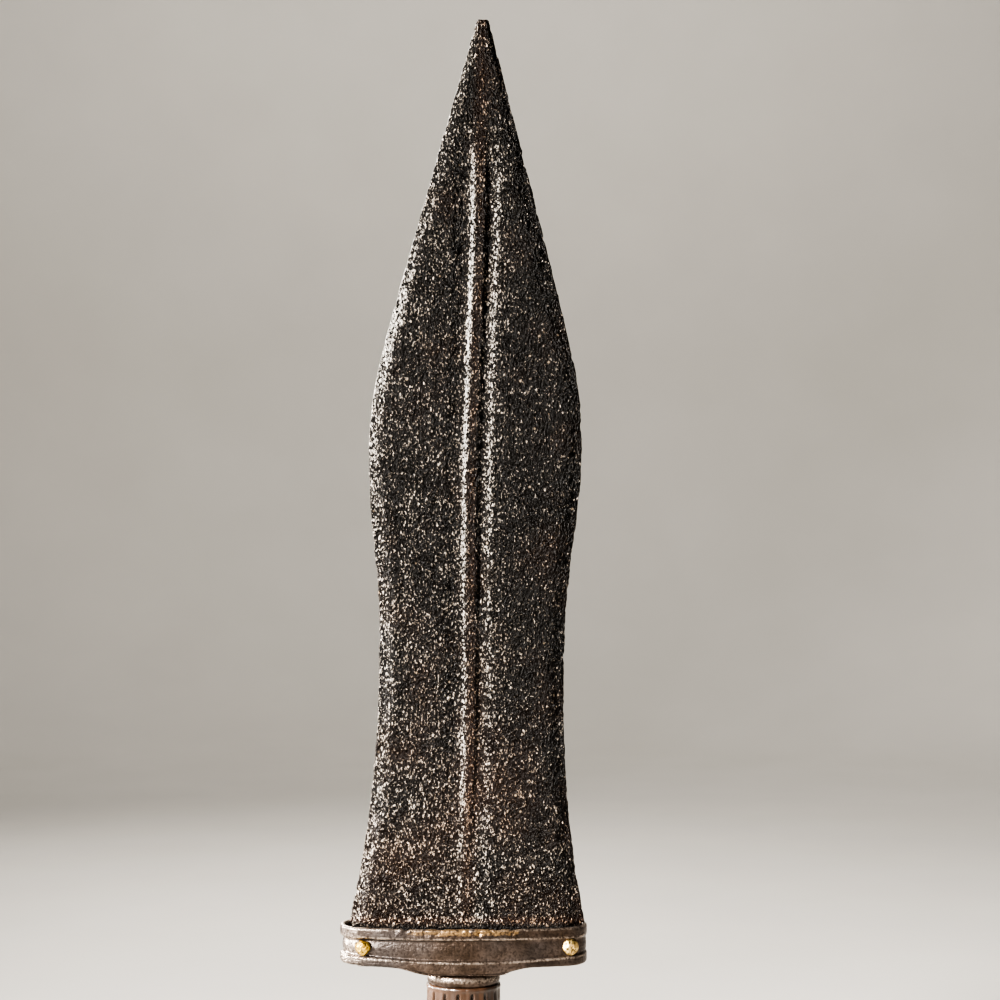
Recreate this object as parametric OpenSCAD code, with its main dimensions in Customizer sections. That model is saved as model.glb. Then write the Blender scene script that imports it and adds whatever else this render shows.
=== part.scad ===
// Leaf-bladed short sword with a hollow boat-shaped guard, two rivets and a fluted grip.
// It stands point up: the origin is the centre of the pommel's flat end, +Z runs along the
// grip to the point, and -Y is the front face.

/* [Blade] */
// Length of the blade from the guard's rim to the point
blade_l = 325; // [270:1:400]
// Width across the shoulders, just above the guard
shoulder_w = 84; // [68:0.5:96]
// Width at the waist
waist_w = 66; // [55:0.5:68]
// Height of the waist above the rim
waist_h = 85; // [60:1:105]
// Width at the belly, the widest place of the leaf
belly_w = 77.2; // [62:0.2:90]
// Height of the belly above the rim
belly_h = 172; // [145:1:190]
// Width of the blunt point
tip_w = 3.6; // [2:0.2:6]
// Thickness of the flat faces at the shoulders
face_t = 6; // [4.5:0.1:8]
// Thickness of the flat faces close to the point
tip_t = 3.6; // [2.4:0.1:5]
// Thickness of the worn edges
edge_t = 2.2; // [1:0.1:3]
// Width of the bevel along each edge
bevel_w = 7; // [3:0.25:9]
// Depth of the two grooves that stand the midrib out
groove_depth = 1; // [0.4:0.1:1.4]
// Width of each groove
groove_w = 4; // [2:0.1:4.4]
// Distance between the grooves' middles along the leaf
groove_gap = 9.2; // [7:0.1:12]
// How far the midrib lies to the left of the blade's middle line
rib_set = 1.5; // [0:0.1:2]
// Sideways set of the blade in the guard
blade_shift = 1.2; // [0:0.1:1.4]
// How far the blade leans out of square to the guard, in degrees
blade_lean = 1; // [0:0.25:1.5]

/* [Guard] */
// Overhang of the guard's ends past the shoulders
guard_over = 2.5; // [2.2:0.1:6]
// Thickness of the guard from front to back at the middle
guard_mid_d = 25; // [22:0.5:34]
// Thickness of the guard from front to back at its round ends
guard_end_d = 18; // [14:0.5:22]
// Height of the guard at the middle
guard_mid_h = 16.4; // [14:0.2:20]
// Height of the guard at its ends
guard_end_h = 13.8; // [10:0.2:14]
// Length over which its underside rises to that height on each side of the grip
guard_throat = 9; // [3:0.5:20]
// Thickness of the rim
rim_t = 2; // [1.6:0.1:2.4]
// Height of the proud band along the rim
top_band_h = 4.2; // [2:0.1:5]
// Height of the proud band along the lower edge, at the ends
low_band_h = 4; // [2.4:0.1:5]
// Extra height of the lower band at the middle
low_band_gain = 1.1; // [0:0.1:2]
// How far the bands stand out from the panel between them
band_proud = 0.7; // [0.3:0.1:0.9]
// Thickness of the pocket's floor at the ends
floor_t = 3.6; // [2.5:0.1:4.5]
// Depth of the packing below the rim
packing_drop = 2; // [1:0.1:3]

/* [Rivets] */
// Diameter of each rivet's shank
rivet_d = 3; // [2:0.1:3.6]
// Diameter of each rivet's head
rivet_head_d = 6; // [4.5:0.1:7]
// How far the heads stand out of the panel
rivet_head_h = 2.4; // [1.2:0.1:3]
// Distance from the side of the blade's seat to the rivet's middle
rivet_inset = 3.8; // [2.4:0.1:6]

/* [Grip] */
// Length of the grip between its collars
grip_l = 92; // [70:0.5:130]
// Width of the grip and its collars
grip_w = 26.6; // [23:0.2:32]
// Thickness of the grip and its collars from front to back
grip_d = 20; // [17:0.2:28]
// How much the grip swells at half length
grip_swell = 1.2; // [0:0.1:3]
// Number of flutes around the grip
flutes = 16; // [10:2:24]
// Depth of the flutes
flute_depth = 1; // [0.4:0.1:1.4]
// Plain length at each end of the grip, past the round ends of the flutes
flute_stop = 1.6; // [1:0.1:6]
// Height of each collar
collar_h = 4.5; // [3:0.1:8]
// Thickness of each leather washer
washer_t = 0.8; // [0.5:0.1:2]

/* [Pommel] */
// Height of the pommel
pommel_h = 22; // [18:0.5:32]
// Width of the pommel
pommel_w = 48; // [40:0.5:60]
// Thickness of the pommel from front to back
pommel_d = 33; // [28:0.5:42]
// Diameter of the round recess in the pommel's end
recess_d = 17; // [15:0.5:20]
// Depth of the recess
recess_h = 5; // [4:0.25:7]
// Thickness of the disc in the recess
peen_washer_t = 2; // [1.5:0.25:2.5]
// Diameter of the tang's hammered-over end
peen_d = 10.4; // [9.8:0.1:12]

/* [Tang] */
// Width of the tang below the shoulders
tang_w = 14; // [10:0.5:15]
// Width of the tang at its hammered-over end
tang_end_w = 8; // [6:0.5:9]
// Thickness of the tang
tang_t = 5; // [3.5:0.25:5.5]
// Thickness of the pitch between the tang and the grip
bedding_t = 1.4; // [0.8:0.1:1.8]

/* [Hidden] */

$fn = 96;
clearance = 0.3;                     // between pieces that slide together
hole_clearance = 0.2;                // on the diameter of a rivet or the tang's slots
end_gap = 0.5;                       // between the blade's seat and the guard's round end
tang_root = 8;                       // how far the tang's root reaches up into the leaf
peen_lift = 0.8;                     // how far the tang's end stays inside the recess

// Heights of the stack, from the pommel's flat end to the point
lower_collar_z = pommel_h + washer_t;
grip_z = lower_collar_z + collar_h;
upper_collar_z = grip_z + grip_l;
guard_z = upper_collar_z + collar_h + washer_t;
rim_z = guard_z + guard_mid_h;
pocket_z = rim_z - guard_end_h + floor_t;
rivet_z = rim_z - (top_band_h + guard_end_h - low_band_h) / 2;    // middle of the panel

// Plan of the guard: two broad arcs that meet a small arc at each end
guard_l = shoulder_w + 2 * guard_over;
end_r = guard_end_d / 2;
end_x = guard_l / 2 - end_r;
broad_r = (pow(end_x, 2) + pow(guard_mid_d / 2, 2) - pow(end_r, 2)) / (guard_mid_d - 2 * end_r);
broad_y = broad_r - guard_mid_d / 2;

// Blade inside the pocket, clear of the rim on the side that it is set towards
seat_half_w = guard_l / 2 - rim_t - end_gap - blade_shift;
seat_draw = 0.15;                    // how much thinner the seat is filed on each face
rivet_x = seat_half_w - rivet_inset;

// ---- Blade ---------------------------------------------------------------------------------

function ramp(x) = let (t = min(max(x, 0), 1)) t * t * (3 - 2 * t);
function mix(a, b, t) = a + (b - a) * t;
function soft_min(a, b, r) = (a + b - sqrt(pow(a - b, 2) + r * r)) / 2;

// Half width of the leaf: it draws in from the shoulders to the waist, swells to the belly,
// and then runs nearly straight to the blunt point, with the belly's corner rounded off
belly_start = waist_h + 0.2 * (belly_h - waist_h);
taper = 1.13 * (belly_w - tip_w) / 2 / (blade_l - belly_h);
belly_round = 4;
function leaf_side(h) = waist_w / 2
    + (shoulder_w - waist_w) / 2 * pow(max(1 - h / waist_h, 0), 2)
    + (belly_w - waist_w) / 2 * ramp((h - belly_start) / (belly_h - belly_start));
function leaf_half_w(h) = soft_min(leaf_side(h), tip_w / 2 + taper * (blade_l - h), belly_round);

// Thicknesses, and the grooves' place and depth, at a height above the rim
function face_half_t(h) = mix(face_t, tip_t, ramp(h / blade_l)) / 2;
function edge_half_t(h) = mix(edge_t, 0.7 * edge_t, max(h / blade_l, 0)) / 2;
function groove_fade(h) = ramp((h - 15) / 60) * ramp((blade_l - 32 - h) / 40);
function groove_x(h) = mix(0.6, 1, ramp(h / (0.6 * blade_l))) * groove_gap / 2;

// The blade's middle line, set over and leaning
function blade_x(h) = blade_shift + tan(blade_lean) * max(h, 0);

// One side of the blade's section, from the left edge to the right, as [x, half thickness]
function section(w, h) =
    let (
        t = face_half_t(h),
        e = edge_half_t(h),
        b = min(bevel_w, 0.4 * w),
        g = min(groove_x(h), 0.25 * w),
        s = min(groove_w / 2, 0.6 * g),
        c = -min(rib_set, 0.1 * w),
        d = groove_depth * groove_fade(h)
    )
    [[-w, e], [b - w, t], [c - g - s, t], [c - g, t - d], [c - g + s, t], [c, t],
     [c + g - s, t], [c + g, t - d], [c + g + s, t], [w - b, t], [w, e]];

// The closed section as a ring of points: the front side, then the back side in return
function ring(w, h, grow = 0) =
    let (side = section(w, h), n = len(side))
    concat([for (p = side) [p.x, -p.y - grow]], [for (i = [n - 1:-1:0]) [side[i].x, side[i].y + grow]]);

// Heights of the sections above the rim: the seat in the pocket, the leaf, and the rounded point
leaf_steps = 42;
function leaf_h(i) = clearance + (blade_l - 3 - clearance) * i / leaf_steps;
stations = concat(
    [[pocket_z - rim_z, seat_half_w, -seat_draw], [clearance, seat_half_w, -seat_draw]],
    [for (i = [0:leaf_steps]) [leaf_h(i), leaf_half_w(leaf_h(i)), 0]],
    [[blade_l - 1.2, tip_w / 2 * 1.15, 0], [blade_l, tip_w / 2 * 0.55, 0]]
);

// A closed solid through rings of equally many points, with flat ends
module loft(rings) {
    n = len(rings[0]);
    m = len(rings);
    polyhedron(
        points = [for (r = rings) each r],
        faces = concat(
            [[for (j = [0:n - 1]) j]],
            [for (i = [0:m - 2]) for (j = [0:n - 1]) let (k = (j + 1) % n) each [
                [i * n + j, (i + 1) * n + j, (i + 1) * n + k],
                [i * n + j, (i + 1) * n + k, i * n + k]
            ]],
            [[for (j = [n - 1:-1:0]) (m - 1) * n + j]]
        )
    );
}

module leaf() {
    loft([for (s = stations) [for (p = ring(s[1], s[0], s[2])) [p.x + blade_x(s[0]), p.y, rim_z + s[0]]]]);
}

// Runs along Y, centred on the sword's middle plane
module along_y(d, l) {
    rotate([90, 0, 0]) cylinder(d = d, h = l, center = true);
}

module at_rivets(sides = [-1, 1]) {
    for (side = sides) translate([blade_shift + side * rivet_x, 0, rivet_z]) children();
}

// The tang tapers in width only; grow makes the slots and the space for it
module tang(grow = 0) {
    top = pocket_z + tang_root;
    foot = recess_h - peen_washer_t - peen_lift;
    rotate([90, 0, 0]) linear_extrude(tang_t + grow, center = true) polygon([
        [-(tang_w + grow) / 2, top], [-(tang_end_w + grow) / 2, foot],
        [(tang_end_w + grow) / 2, foot], [(tang_w + grow) / 2, top]
    ]);
}

// The end of the tang, hammered over into a low dome that stays inside the recess
module peen() {
    h = recess_h - peen_washer_t;
    rise = h - peen_lift;
    rotate_extrude() polygon(concat(
        [[0, h], [0, h - rise]],
        [for (a = [75:-15:0]) [peen_d / 2 * cos(a), h - rise * (0.35 + 0.65 * sin(a))]],
        [[peen_d / 2, h]]
    ));
}

module blade() {
    color("#3a2f29") {
        difference() {
            union() {
                leaf();
                tang();
            }
            at_rivets() along_y(rivet_d + hole_clearance, 2 * face_t);
        }
        peen();
    }
}

// ---- Guard ---------------------------------------------------------------------------------

// Points along an arc, all but its last
function arc(x, y, r, from, to, steps) =
    [for (i = [0:steps - 1]) let (a = mix(from, to, i / steps)) [x + r * cos(a), y + r * sin(a)]];

// Plan of the guard drawn in by a distance: broad arcs front and back, small arcs at the ends
module boat(inset = 0) {
    join = atan2(broad_y, end_x);
    polygon(concat(
        arc(0, broad_y, broad_r - inset, join - 180, -join, 20),
        arc(end_x, 0, end_r - inset, -join, join, 14),
        arc(0, -broad_y, broad_r - inset, join, 180 - join, 20),
        arc(-end_x, 0, end_r - inset, 180 - join, 180 + join, 14)
    ));
}

// Half the drawn-in plan's thickness at a distance from its middle
function boat_half_d(x, inset) =
    let (join_x = end_x * (1 + (end_r - inset) / (broad_r - end_r)))
    abs(x) < join_x ? sqrt(pow(broad_r - inset, 2) - x * x) - broad_y
                    : sqrt(pow(end_r - inset, 2) - pow(abs(x) - end_x, 2));

// The front view of a stretch of the guard's height, as a slab to cut a band with: its top and
// bottom are distances below the rim, at the ends and at the middle. The top runs straight from
// the grip to the ends, and the bottom rises over the throat
module front_slab(top, top_mid, bottom, bottom_mid) {
    x = guard_l / 2 + 1;
    flat = grip_w / 2;
    throat = flat + guard_throat;
    translate([0, 0, rim_z]) rotate([90, 0, 0]) linear_extrude(guard_mid_d + 2, center = true) polygon([
        [-x, -top], [-flat, -top_mid], [flat, -top_mid], [x, -top],
        [x, -bottom], [throat, -bottom], [flat, -bottom_mid],
        [-flat, -bottom_mid], [-throat, -bottom], [-x, -bottom]
    ]);
}

module boat_solid(inset) {
    translate([0, 0, guard_z]) linear_extrude(guard_mid_h) boat(inset);
}

// The guard before it is hollowed: a panel between two proud bands
module guard_body() {
    low_mid = guard_mid_h - low_band_h - low_band_gain;
    intersection() {
        boat_solid(band_proud);
        front_slab(0, 0, guard_end_h, guard_mid_h);
    }
    intersection() {
        boat_solid(0);
        front_slab(0, 0, top_band_h, top_band_h);
    }
    intersection() {
        boat_solid(0);
        front_slab(guard_end_h - low_band_h, low_mid, guard_end_h, guard_mid_h);
    }
}

module guard() {
    color("#6b5145") difference() {
        guard_body();
        translate([0, 0, pocket_z]) linear_extrude(guard_end_h) boat(rim_t);
        tang(hole_clearance);
        at_rivets() along_y(rivet_d + hole_clearance, guard_mid_d);
    }
}

// One half of the pocket around the blade, front or back
module packing(side) {
    h = rim_z - packing_drop - pocket_z;
    color("#2b1d15") difference() {
        translate([0, 0, pocket_z]) linear_extrude(h) difference() {
            intersection() {
                boat(rim_t);
                translate([-guard_l / 2, side > 0 ? 0 : -guard_mid_d]) square([guard_l, guard_mid_d]);
            }
            translate([blade_shift, 0]) polygon(ring(seat_half_w + clearance / 3, 0));
        }
        at_rivets() along_y(rivet_d + hole_clearance, guard_mid_d);
    }
}

module packing_front() packing(-1);
module packing_back() packing(1);

// ---- Rivets --------------------------------------------------------------------------------

// A domed head whose underside fits the guard's curved and banded wall
module rivet(side) {
    x = blade_shift + side * rivet_x;
    panel_y = boat_half_d(x, band_proud);
    reach = panel_y + rivet_head_h;
    color("#d0a850") {
        at_rivets([side]) along_y(rivet_d, 2 * panel_y);
        difference() {
            at_rivets([side]) for (turn = [90, -90]) rotate([turn, 0, 0]) rotate_extrude() polygon([
                [0, 1], [0, reach], [rivet_head_d * 0.22, reach],
                [rivet_head_d * 0.42, reach - rivet_head_h * 0.3],
                [rivet_head_d / 2, reach - rivet_head_h * 0.75], [rivet_head_d / 2, 1]
            ]);
            guard_body();
        }
    }
}

module rivet_left() rivet(-1);
module rivet_right() rivet(1);

// ---- Grip ----------------------------------------------------------------------------------

function oval(w, d, count) = [for (i = [0:count - 1]) [w / 2 * cos(360 * i / count), d / 2 * sin(360 * i / count)]];

oval_points = 48;

module washer(z) {
    color("#3b2417") difference() {
        translate([0, 0, z]) linear_extrude(washer_t) polygon(oval(grip_w - 2, grip_d - 2, oval_points));
        tang(hole_clearance);
    }
}

// A half-round bead around an oval ring
module collar(z) {
    steps = 8;
    bead = 0.3 * collar_h;
    color("#7a5f50") difference() {
        loft([for (i = [0:steps]) let (
            a = -90 + 180 * i / steps,
            out = 2 * bead * (cos(a) - 1)
        ) [for (p = oval(grip_w + out, grip_d + out, oval_points)) [p.x, p.y, z + collar_h * (1 + sin(a)) / 2]]]);
        tang(hole_clearance);
    }
}

module guard_washer() washer(guard_z - washer_t);
module upper_collar() collar(upper_collar_z);
module lower_collar() collar(lower_collar_z);
module pommel_washer() washer(pommel_h);

// Depth of the fluting at an angle, as narrow round-bottomed grooves between broad reeds
reed_points = [0, 0.55, 1, 0.55];
function flute_ring(z, t) =
    let (
        swell = grip_swell * sin(180 * t),
        n = flutes * len(reed_points)
    )
    [for (i = [0:n - 1]) let (
        a = 360 * i / n,
        cut = flute_depth * reed_points[i % len(reed_points)] * flute_end(t),
        r = 1 - 2 * cut / grip_d
    ) [(grip_w + swell) / 2 * r * cos(a), (grip_d + swell) / 2 * r * sin(a), z]];

// The flutes run out in a round end at both ends of the grip
function flute_end(t) =
    let (gap = min(t, 1 - t) * grip_l - flute_stop, run = 2 * flute_depth)
    gap <= 0 ? 0 : gap >= run ? 1 : sqrt(1 - pow(1 - gap / run, 2));

grip_ts = let (s = flute_stop / grip_l, f = 2 * flute_depth / grip_l)
    [0, s, s + 0.35 * f, s + f, 0.2, 0.35, 0.5, 0.65, 0.8, 1 - s - f, 1 - s - 0.35 * f, 1 - s, 1];

// The long hole that the tang and its pitch fill
module grip_slot() {
    r = tang_t / 2 + bedding_t;
    x = tang_w / 2 + bedding_t - r;
    translate([0, 0, grip_z]) linear_extrude(grip_l) {
        square([2 * x, 2 * r], center = true);
        for (side = [-1, 1]) translate([side * x, 0]) circle(r);
    }
}

module grip() {
    color("#a97c50") difference() {
        loft([for (t = grip_ts) flute_ring(grip_z + t * grip_l, t)]);
        grip_slot();
    }
}

module tang_bedding() {
    color("#241811") difference() {
        grip_slot();
        tang();
    }
}

// ---- Pommel --------------------------------------------------------------------------------

// The pommel's side from its flat end up, as [share of the height, share of the swell]
pommel_side = [[0, 0.78], [0.03, 0.88], [0.1, 0.97], [0.2, 1], [0.3, 0.97], [0.36, 0.88],
               [0.4, 0.8], [0.5, 0.62], [0.62, 0.4], [0.75, 0.2], [0.88, 0.07], [1, 0.02]];

module pommel() {
    color("#6b5145") difference() {
        loft([for (s = pommel_side) let (
            w = mix(grip_w, pommel_w, s[1]),
            d = mix(grip_d, pommel_d, s[1])
        ) [for (p = oval(w, d, oval_points)) [p.x, p.y, s[0] * pommel_h]]]);
        translate([0, 0, -1]) cylinder(d = recess_d, h = recess_h + 1);
        tang(hole_clearance);
    }
}

module peen_washer() {
    color("#4a3d35") difference() {
        translate([0, 0, recess_h - peen_washer_t]) cylinder(d = recess_d - 2 * clearance, h = peen_washer_t);
        tang(hole_clearance);
    }
}

blade();
guard();
packing_front();
packing_back();
rivet_left();
rivet_right();
guard_washer();
upper_collar();
grip();
tang_bedding();
lower_collar();
pommel_washer();
pommel();
peen_washer();
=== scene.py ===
import bpy
import numpy as np
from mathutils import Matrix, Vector


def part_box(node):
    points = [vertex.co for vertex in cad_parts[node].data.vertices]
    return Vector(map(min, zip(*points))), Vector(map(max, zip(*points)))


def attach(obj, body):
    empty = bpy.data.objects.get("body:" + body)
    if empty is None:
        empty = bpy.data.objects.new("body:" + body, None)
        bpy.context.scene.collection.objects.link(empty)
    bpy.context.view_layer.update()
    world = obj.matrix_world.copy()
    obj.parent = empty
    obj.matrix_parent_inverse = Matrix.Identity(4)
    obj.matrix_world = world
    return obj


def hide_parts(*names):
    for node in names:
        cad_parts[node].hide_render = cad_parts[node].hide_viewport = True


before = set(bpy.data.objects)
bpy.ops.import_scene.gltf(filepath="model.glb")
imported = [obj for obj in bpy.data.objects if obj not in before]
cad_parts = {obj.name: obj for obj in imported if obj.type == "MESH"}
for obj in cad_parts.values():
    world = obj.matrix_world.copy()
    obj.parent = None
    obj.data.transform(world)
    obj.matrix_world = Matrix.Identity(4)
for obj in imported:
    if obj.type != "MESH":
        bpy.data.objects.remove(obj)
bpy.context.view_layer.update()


# ---- Blade: the leaf ------------------------------------------------------------------------
# One iron forging: a waisted leaf with a low midrib between two grooves, hammered out, filed and
# long since rusted. The rust has eaten it into a close coat of pits, and the edges are ragged.

MM = 0.001
RIM_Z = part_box("guard")[1].z
TIP_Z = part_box("blade")[1].z
GUARD_HALF_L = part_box("guard")[1].x
BLADE_L = TIP_Z - RIM_Z
BLADE_SHIFT = 1.2 * MM                  # the blade sits a little to the right in the guard,
BLADE_LEAN = np.tan(np.radians(1.0))    # and leans a degree the same way
SEAT_DROP = RIM_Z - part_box("packing_front")[0].z
SEAT_HALF_W = 40.8 * MM
SEAT_GAP = 0.3 * MM
SHOULDER_HALF_W = 42.0 * MM
WAIST_HALF_W = 33.0 * MM
WAIST_H = 85.0 * MM
BELLY_HALF_W = 38.6 * MM
BELLY_H = 172.0 * MM
TIP_HALF_W = 1.8 * MM
TAPER_BULGE = 1.13                      # the taper would reach the belly this much wider than it is
CORNER_R = 4.0 * MM                     # rounds the belly's side into the taper
FLAT_HALF_T = (3.0 * MM, 1.8 * MM)      # half thickness at the rim and at the point, on the flat
EDGE_HALF_T = (1.1 * MM, 0.75 * MM)     # and on the edges
BEVEL_W = 7.0 * MM


def ramp(x):
    """Goes smoothly from 0 at x = 0 to 1 at x = 1, as 3x^2 - 2x^3."""
    t = np.clip(x, 0, 1)
    return t * t * (3 - 2 * t)


def mix(a, b, t):
    """A value that goes from a at t = 0 to b at t = 1."""
    return a + (b - a) * t


def bell(x):
    """A bell curve, exp(-x^2): 1 at x = 0 and near 0 beyond x = 2."""
    return np.exp(-(x**2))


def noise(points, size, seed, octaves=1):
    """Smooth random values from 0 to 1: random numbers on a lattice `size` metres apart, blended
    between the eight nearest by the smooth ramp. Each further octave halves lattice and weight."""
    table = np.random.default_rng(seed).random((64, 64, 64))
    total = 0
    for octave in range(octaves):
        cell = np.asarray(points) / size * 2**octave + 11.3 * (octave + 1)
        low = np.floor(cell).astype(int)
        t = ramp(cell - low)
        for corner in np.ndindex(2, 2, 2):
            share = np.prod(np.where(corner, t, 1 - t), axis=-1)
            x, y, z = np.moveaxis((low + corner) % 64, -1, 0)
            total = total + share * table[x, y, z] / 2**octave
    return total / (2 - 0.5 ** (octaves - 1))


def outward(grid, loop=False):
    """Unit normals of a grid of points whose columns close on themselves: the cross product of
    the steps along a row and down a column. Rows close too when loop is set."""
    across = np.roll(grid, -1, axis=1) - np.roll(grid, 1, axis=1)
    down = np.roll(grid, -1, axis=0) - np.roll(grid, 1, axis=0) if loop else np.gradient(grid, axis=0)
    normal = np.cross(across, down)
    return normal / np.maximum(np.linalg.norm(normal, axis=-1, keepdims=True), 1e-12)


def skin(name, grid, material, loop=False, **marks):
    """A closed mesh over a grid of points: every row closes on itself, and the first and last
    rows close onto their middle points, or onto each other when loop is set. Each mark is a
    value for every point, kept as an attribute that the material reads."""
    rows, cols = grid.shape[:2]
    here = np.arange(rows * cols).reshape(rows, cols)
    side = np.roll(here, -1, axis=1)
    if loop:
        below, below_side = np.roll(here, -1, axis=0), np.roll(side, -1, axis=0)
        faces = np.stack([here, side, below_side, below], axis=-1).reshape(-1, 4).tolist()
        points = grid.reshape(-1, 3)
    else:
        faces = np.stack([here[:-1], side[:-1], side[1:], here[1:]], axis=-1).reshape(-1, 4).tolist()
        ends = [grid[0].mean(axis=0), grid[-1].mean(axis=0)]
        points = np.vstack([grid.reshape(-1, 3), ends])
        first, last = rows * cols, rows * cols + 1
        faces += np.stack([np.full(cols, first), side[0], here[0]], axis=-1).tolist()
        faces += np.stack([np.full(cols, last), here[-1], side[-1]], axis=-1).tolist()
    corners = np.array([face[:3] for face in faces])
    a, b, c = points[corners[:, 0]], points[corners[:, 1]], points[corners[:, 2]]
    if np.einsum("ij,ij->", a - points.mean(axis=0), np.cross(b - a, c - a)) < 0:
        faces = [face[::-1] for face in faces]
    mesh = bpy.data.meshes.new(name)
    mesh.from_pydata(points.tolist(), [], faces)
    mesh.shade_smooth()
    for mark, values in marks.items():
        layer = mesh.attributes.new(mark, "FLOAT", "POINT")
        flat = np.broadcast_to(values, grid.shape[:2]).ravel()
        extra = len(points) - flat.size
        layer.data.foreach_set("value", np.append(flat, np.zeros(extra)).astype(np.float32))
    mesh.materials.append(material)
    piece = bpy.data.objects.new(name, mesh)
    bpy.context.collection.objects.link(piece)
    return piece


def put(piece, slot, *nodes):
    """Says where a finished piece belongs: it rides with the sword and shows in place of its CAD
    nodes. The slot is not used."""
    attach(piece, "root")
    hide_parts(*nodes)


def colour(code):
    """An sRGB hex colour as linear RGBA: each channel c becomes ((c + 0.055) / 1.055)^2.4, or
    c / 12.92 when it is dark."""
    part = [int(code[i:i + 2], 16) / 255 for i in (1, 3, 5)]
    return [c / 12.92 if c < 0.04045 else ((c + 0.055) / 1.055) ** 2.4 for c in part] + [1.0]


def new_material(name):
    """An empty procedural material: its tree, its shader and the object's own coordinates."""
    material = bpy.data.materials.new(name)
    material.use_nodes = True
    tree = material.node_tree
    tree.nodes.clear()
    shader = tree.nodes.new("ShaderNodeBsdfPrincipled")
    output = tree.nodes.new("ShaderNodeOutputMaterial")
    tree.links.new(shader.outputs[0], output.inputs[0])
    place = tree.nodes.new("ShaderNodeTexCoord").outputs["Object"]
    return material, tree, shader, place


def feed(tree, node, inputs):
    """Fills a node's inputs with values or with other nodes' outputs. Inputs that share a name go
    by number: a Math node's terms are 0, 1 and 2, and a colour Mix goes from 6 to 7 by its 0."""
    for socket, value in inputs.items():
        if isinstance(value, bpy.types.NodeSocket):
            tree.links.new(value, node.inputs[socket])
        else:
            node.inputs[socket].default_value = value


def add(tree, kind, inputs, **settings):
    """Adds a node, makes its settings and fills its inputs."""
    node = tree.nodes.new("ShaderNode" + kind)
    for key, value in settings.items():
        setattr(node, key, value)
    feed(tree, node, inputs)
    return node


# Rust-pitted iron under oil: a near-black scale whose grain tops and thin broken lips round them are
# painted bright, partly as rubbed metal and partly as painted glints. A painted highlight brightens them
# most along the rib's left flank, the far lip of its groove and the left bevel, the sides that face the
# light, and a painted shade darkens the face right of the rib and the foot down in the guard's pocket.
# Red-brown rust lies in drifts, and a few pale flecks of grit stick to it.
GRAIN = 0.66 * MM                       # width of a rust grain
LIP_GRAIN = 1.5 * GRAIN
PIT_W = 1.7 * GRAIN
FLECK_GAP = 1.7 * MM
PATCH_W = 7.0 * MM
DRIFT_W = 22.0 * MM
iron, tree, shader, place = new_material("pitted_forged_iron")
shine = add(tree, "Attribute", {}, attribute_name="shine").outputs["Fac"]
rust_low = add(tree, "Attribute", {}, attribute_name="rust").outputs["Fac"]
foot_painted_shade = add(tree, "Attribute", {}, attribute_name="grime").outputs["Fac"]
drawn = add(tree, "Mapping", {"Vector": place, "Scale": (1.0, 1.0, 0.62)}).outputs[0]  # along the blade
grain = add(tree, "TexNoise", {"Vector": drawn, "Scale": 1 / GRAIN, "Detail": 2.5, "Roughness": 0.58,
                               "Distortion": 0.5}).outputs[0]
pits = add(tree, "TexVoronoi", {"Vector": place, "Scale": 1 / PIT_W}, feature="F1").outputs["Distance"]
drift = add(tree, "TexNoise", {"Vector": place, "Scale": 1 / DRIFT_W, "Detail": 4.0}).outputs[0]
patch = add(tree, "TexNoise", {"Vector": place, "Scale": 1 / PATCH_W, "Detail": 3.0}).outputs[0]
rust = add(tree, "Math", {0: drift, 1: 1.5, 2: -0.72}, operation="MULTIPLY_ADD").outputs[0]
rust = add(tree, "Math", {0: rust, 1: rust_low}, operation="ADD", use_clamp=True).outputs[0]
# How high a grain stands, raised by patch and by the painted highlight: past a threshold its top is
# painted bright, partly as rubbed metal and partly as a painted glint.
lift = add(tree, "Math", {0: patch, 1: 0.15, 2: grain}, operation="MULTIPLY_ADD").outputs[0]
lift = add(tree, "Math", {0: shine, 1: 0.14, 2: lift}, operation="MULTIPLY_ADD").outputs[0]
crest = add(tree, "MapRange", {"Value": lift, "From Min": 0.688, "From Max": 0.77}).outputs[0]
# The lips are thin lines where a second noise crosses its middle value, broken off in the hollows.
lips = add(tree, "TexNoise", {"Vector": drawn, "Scale": 1 / LIP_GRAIN, "Detail": 2.0,
                              "Distortion": 0.6}).outputs[0]
lips = add(tree, "Math", {0: lips, 1: 0.52}, operation="SUBTRACT").outputs[0]
lips = add(tree, "Math", {0: lips}, operation="ABSOLUTE").outputs[0]
lips = add(tree, "MapRange", {"Value": lips, "From Min": 0.01, "From Max": 0.06, "To Min": 1.0,
                              "To Max": 0.0}).outputs[0]
broken = add(tree, "MapRange", {"Value": lift, "From Min": 0.638, "From Max": 0.715}).outputs[0]
lips = add(tree, "Math", {0: lips, 1: broken}, operation="MULTIPLY").outputs[0]
crest = add(tree, "Math", {0: crest, 1: lips}, operation="MAXIMUM").outputs[0]
body = add(tree, "Mix", {0: rust, 6: colour("#090604"), 7: colour("#20130c")}, data_type="RGBA").outputs[2]
high = add(tree, "Mix", {0: rust, 6: colour("#b8ada0"), 7: colour("#bb9676")}, data_type="RGBA").outputs[2]
# The bright colour is paler still under the painted highlight.
high = add(tree, "Mix", {0: shine, 6: high, 7: colour("#e2ddd6")}, data_type="RGBA").outputs[2]
tint = add(tree, "Mix", {0: crest, 6: body, 7: high}, data_type="RGBA").outputs[2]
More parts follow.
